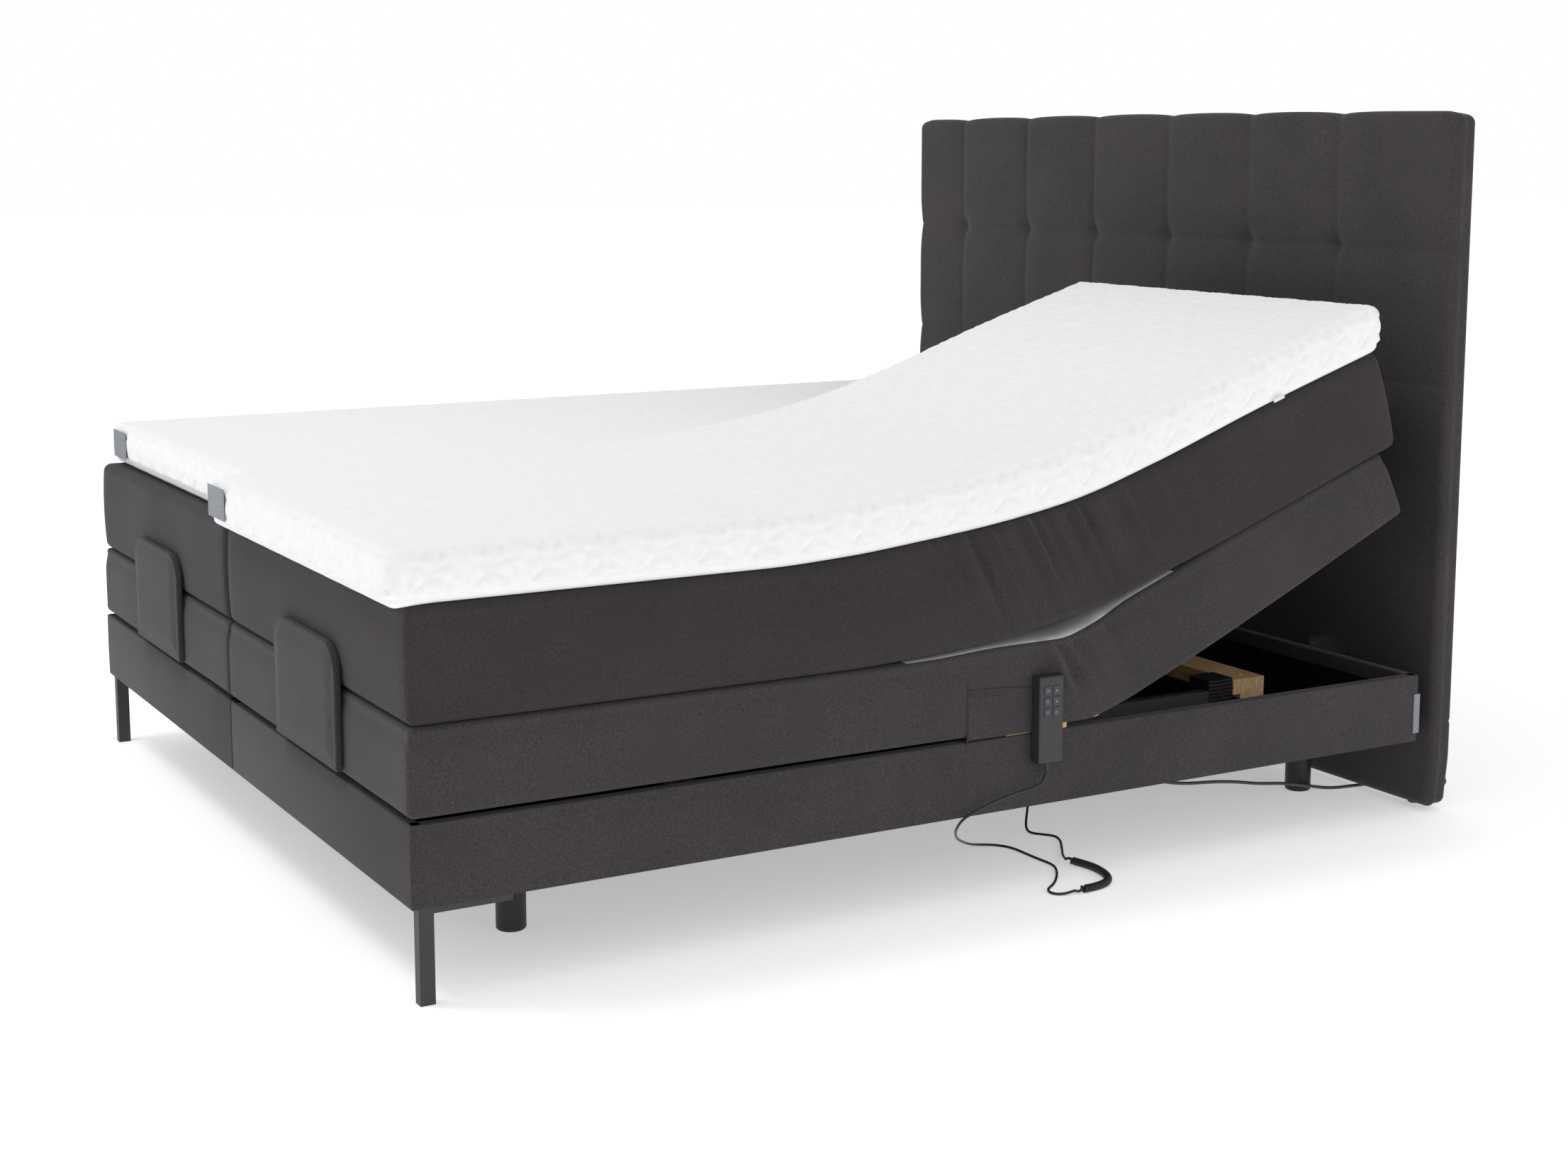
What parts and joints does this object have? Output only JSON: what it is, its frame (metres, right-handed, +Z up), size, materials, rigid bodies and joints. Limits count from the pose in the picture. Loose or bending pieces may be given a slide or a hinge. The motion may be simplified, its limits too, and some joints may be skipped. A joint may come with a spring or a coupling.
{
  "type": "adjustable double bed",
  "caption": "Double bed of two adjustable single units on a fabric base with legs, each in hinged sections with mattress and topper, a column-tufted headboard and a wired handset.",
  "frame": {"origin": "on the floor, at the middle of the bed's width and length", "axes": "+Y from foot to head, +Z up, +X to the right unit as seen from the foot"},
  "size_m": [1.8634, 2.2286, 1.315],
  "materials": {
    "board": "satin",
    "base_fabric": "matte",
    "box_fabric": "matte",
    "mattress_fabric": "matte",
    "topper_knit": "matte",
    "floor_board": "satin",
    "leg_paint": "satin",
    "black_plastic": "matte",
    "zinc_steel": "satin",
    "beech": "satin",
    "black_rubber": "matte",
    "motor_plastic": "matte",
    "pine": "matte",
    "chrome": "polished",
    "handset_plastic": "satin",
    "key_plastic": "matte",
    "cord_plastic": "satin"
  },
  "bodies": {
    "base": {"base_boards": "board", "base_covers": "base_fabric", "base_floors": "floor_board", "corner_legs": "leg_paint", "support_legs": "black_plastic", "frame_rails": "zinc_steel", "beech_crossbars": "beech", "rubber_fittings": "black_rubber", "motors": "motor_plastic", "seat_frames": "pine", "bolts_and_screws": "zinc_steel", "headboard_core": "base_fabric", "headboard_cushion": "base_fabric", "headboard_brackets": "chrome", "handset_pocket": "base_fabric", "handset_body": "handset_plastic", "handset_cord": "cord_plastic", "handset_coil": "cord_plastic", "mains_cord": "cord_plastic", "mains_coil": "cord_plastic", "mains_plug": "cord_plastic", "seat_pads": "box_fabric", "seat_mattresses": "mattress_fabric", "seat_toppers": "topper_knit"},
    "back_right": {"back_frame_right": "pine", "back_pad_right": "box_fabric"},
    "back_layers_right": {"back_mattress_right": "mattress_fabric", "back_topper_right": "topper_knit"},
    "thigh_right": {"thigh_frame_right": "pine", "thigh_pad_right": "box_fabric", "thigh_mattress_right": "mattress_fabric", "thigh_topper_right": "topper_knit"},
    "calf_right": {"calf_frame_right": "pine", "calf_pad_right": "box_fabric", "calf_mattress_right": "mattress_fabric", "calf_topper_right": "topper_knit", "retainer_right": "base_fabric"},
    "back_lift_arm_right": {"back_lift_right": "zinc_steel"},
    "leg_lift_arm_right": {"leg_lift_right": "zinc_steel"},
    "back_left": {"back_frame_left": "pine", "back_pad_left": "box_fabric"},
    "back_layers_left": {"back_mattress_left": "mattress_fabric", "back_topper_left": "topper_knit"},
    "thigh_left": {"thigh_frame_left": "pine", "thigh_pad_left": "box_fabric", "thigh_mattress_left": "mattress_fabric", "thigh_topper_left": "topper_knit"},
    "calf_left": {"calf_frame_left": "pine", "calf_pad_left": "box_fabric", "calf_mattress_left": "mattress_fabric", "calf_topper_left": "topper_knit", "retainer_left": "base_fabric"},
    "back_lift_arm_left": {"back_lift_left": "zinc_steel"},
    "leg_lift_arm_left": {"leg_lift_left": "zinc_steel"},
    "key_upper_foot_side_body": {"key_upper_foot_side": "key_plastic"},
    "key_upper_head_side_body": {"key_upper_head_side": "key_plastic"},
    "key_middle_foot_side_body": {"key_middle_foot_side": "key_plastic"},
    "key_middle_head_side_body": {"key_middle_head_side": "key_plastic"},
    "key_lower_foot_side_body": {"key_lower_foot_side": "key_plastic"},
    "key_lower_head_side_body": {"key_lower_head_side": "key_plastic"}
  },
  "joints": [
    {"name": "back_hinge_right", "type": "hinge", "parent": "base", "child": "back_right", "pos_m": [0.4505, 0.2105, 0.304], "axis": [1, 0, 0], "range_deg": [-24, 26], "deforming": ["back_pad_right", "seat_pads", "seat_mattresses", "seat_toppers"]},
    {"name": "back_layers_bend_right", "type": "hinge", "parent": "base", "child": "back_layers_right", "pos_m": [0.4505, 0.1505, 0.385], "axis": [1, 0, 0], "range_deg": [-22.32, 24.18], "deforming": ["back_pad_right", "seat_pads", "seat_mattresses", "seat_toppers"]},
    {"name": "back_lift_shaft_right", "type": "hinge", "parent": "base", "child": "back_lift_arm_right", "pos_m": [0.4505, 0.2105, 0.238], "axis": [1, 0, 0], "range_deg": [-22.32, 24.18]},
    {"name": "thigh_hinge_right", "type": "hinge", "parent": "base", "child": "thigh_right", "pos_m": [0.4505, -0.0345, 0.304], "axis": [-1, 0, 0], "range_deg": [0, 25], "deforming": ["seat_pads", "seat_mattresses", "seat_toppers"]},
    {"name": "knee_hinge_right", "type": "hinge", "parent": "thigh_right", "child": "calf_right", "pos_m": [0.4505, -0.4345, 0.304], "axis": [-1, 0, 0], "range_deg": [-25, 0]},
    {"name": "leg_lift_shaft_right", "type": "hinge", "parent": "base", "child": "leg_lift_arm_right", "pos_m": [0.4505, -0.0345, 0.238], "axis": [-1, 0, 0], "range_deg": [0, 23.75]},
    {"name": "back_hinge_left", "type": "hinge", "parent": "base", "child": "back_left", "pos_m": [-0.4505, 0.2105, 0.304], "axis": [1, 0, 0], "range_deg": [0, 50], "deforming": ["back_pad_left", "seat_pads", "seat_mattresses", "seat_toppers"]},
    {"name": "back_layers_bend_left", "type": "hinge", "parent": "base", "child": "back_layers_left", "pos_m": [-0.4505, 0.1505, 0.385], "axis": [1, 0, 0], "range_deg": [0, 46.5], "deforming": ["back_pad_left", "seat_pads", "seat_mattresses", "seat_toppers"]},
    {"name": "back_lift_shaft_left", "type": "hinge", "parent": "base", "child": "back_lift_arm_left", "pos_m": [-0.4505, 0.2105, 0.238], "axis": [1, 0, 0], "range_deg": [0, 46.5]},
    {"name": "thigh_hinge_left", "type": "hinge", "parent": "base", "child": "thigh_left", "pos_m": [-0.4505, -0.0345, 0.304], "axis": [-1, 0, 0], "range_deg": [0, 25], "deforming": ["seat_pads", "seat_mattresses", "seat_toppers"]},
    {"name": "knee_hinge_left", "type": "hinge", "parent": "thigh_left", "child": "calf_left", "pos_m": [-0.4505, -0.4345, 0.304], "axis": [-1, 0, 0], "range_deg": [-25, 0]},
    {"name": "leg_lift_shaft_left", "type": "hinge", "parent": "base", "child": "leg_lift_arm_left", "pos_m": [-0.4505, -0.0345, 0.238], "axis": [-1, 0, 0], "range_deg": [0, 23.75]},
    {"name": "key_upper_foot_side_press", "type": "slide", "parent": "base", "child": "key_upper_foot_side_body", "axis": [-1, 0, 0], "range_m": [0, 0.0008], "stiffness_N_per_m": 400},
    {"name": "key_upper_head_side_press", "type": "slide", "parent": "base", "child": "key_upper_head_side_body", "axis": [-1, 0, 0], "range_m": [0, 0.0008], "stiffness_N_per_m": 400},
    {"name": "key_middle_foot_side_press", "type": "slide", "parent": "base", "child": "key_middle_foot_side_body", "axis": [-1, 0, 0], "range_m": [0, 0.0008], "stiffness_N_per_m": 400},
    {"name": "key_middle_head_side_press", "type": "slide", "parent": "base", "child": "key_middle_head_side_body", "axis": [-1, 0, 0], "range_m": [0, 0.0008], "stiffness_N_per_m": 400},
    {"name": "key_lower_foot_side_press", "type": "slide", "parent": "base", "child": "key_lower_foot_side_body", "axis": [-1, 0, 0], "range_m": [0, 0.0008], "stiffness_N_per_m": 400},
    {"name": "key_lower_head_side_press", "type": "slide", "parent": "base", "child": "key_lower_head_side_body", "axis": [-1, 0, 0], "range_m": [0, 0.0008], "stiffness_N_per_m": 400}
  ],
  "couplings": [
    {"joint": "back_layers_bend_right", "follows": "back_hinge_right", "ratio": 0.93},
    {"joint": "back_lift_shaft_right", "follows": "back_hinge_right", "ratio": 0.93},
    {"joint": "knee_hinge_right", "follows": "thigh_hinge_right", "ratio": -1},
    {"joint": "leg_lift_shaft_right", "follows": "thigh_hinge_right", "ratio": 0.95},
    {"joint": "back_layers_bend_left", "follows": "back_hinge_left", "ratio": 0.93},
    {"joint": "back_lift_shaft_left", "follows": "back_hinge_left", "ratio": 0.93},
    {"joint": "knee_hinge_left", "follows": "thigh_hinge_left", "ratio": -1},
    {"joint": "leg_lift_shaft_left", "follows": "thigh_hinge_left", "ratio": 0.95}
  ]
}
